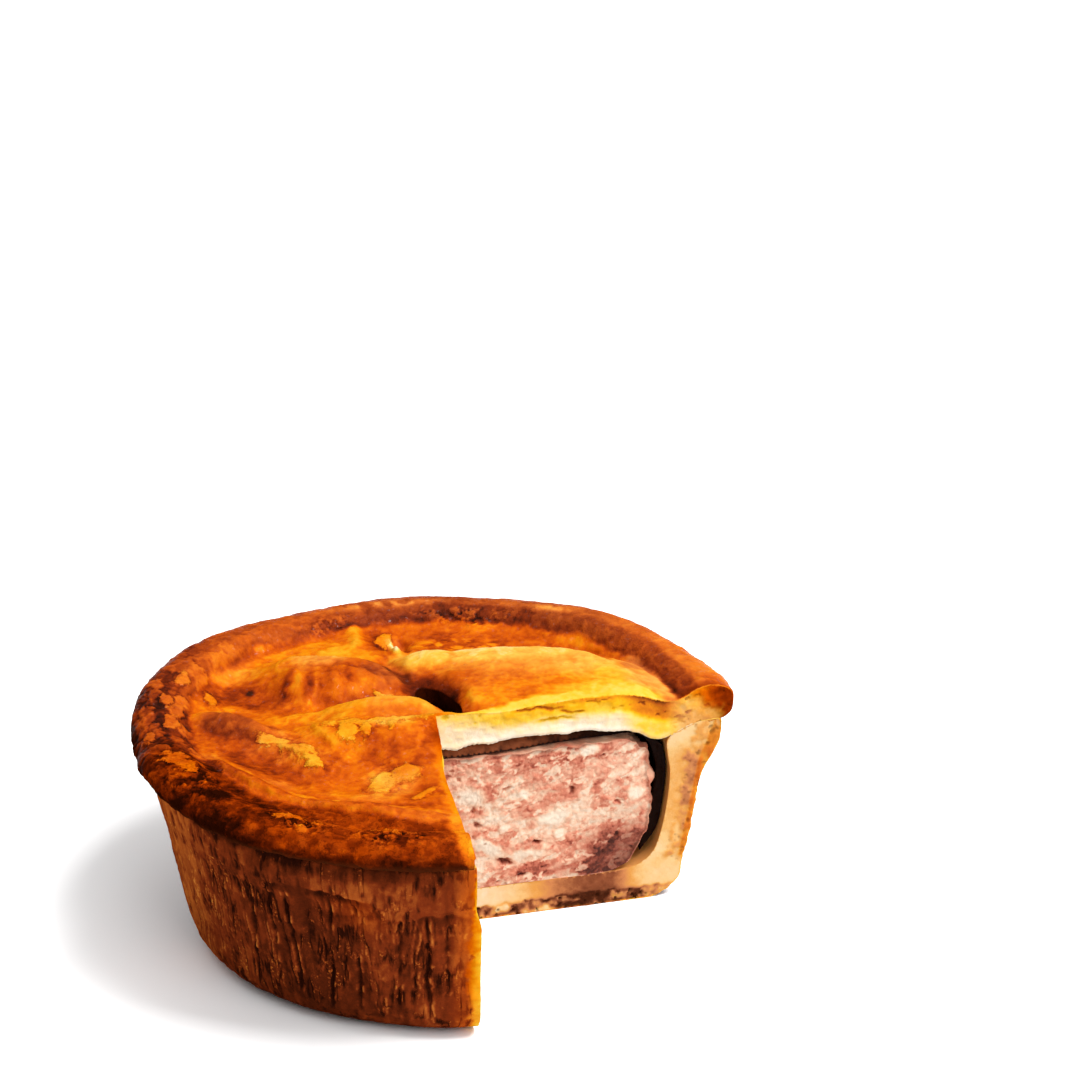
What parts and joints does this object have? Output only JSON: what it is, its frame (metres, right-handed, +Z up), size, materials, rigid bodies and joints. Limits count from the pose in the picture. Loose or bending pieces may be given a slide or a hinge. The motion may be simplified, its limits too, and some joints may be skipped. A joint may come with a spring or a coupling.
{
  "type": "pork pie",
  "caption": "Round raised pork pie with a rolled glazed rim, cut open by a missing slice that shows jelly and a coarse pork filling.",
  "frame": {"origin": "centre of the flat base", "axes": "+Z up through the lid; the missing slice faces -Y and +X, so a viewer at -Y looks into the cut"},
  "size_m": [0.1294, 0.1301, 0.0506],
  "materials": {
    "glazed_crust": "egg-glazed baked pastry, amber to red-brown, glossy in patches",
    "baked_crust": "browned hot-water crust outside, cream dough with a golden crumb at the cut",
    "jelly": "dark clear savoury jelly, wet",
    "pork": "coarse cooked pork, pink with cream fat, slightly moist"
  },
  "bodies": {
    "root": {"pastry_lid": "glazed_crust", "pastry_case": "baked_crust", "jelly": "jelly", "pork_filling": "pork"}
  },
  "joints": []
}
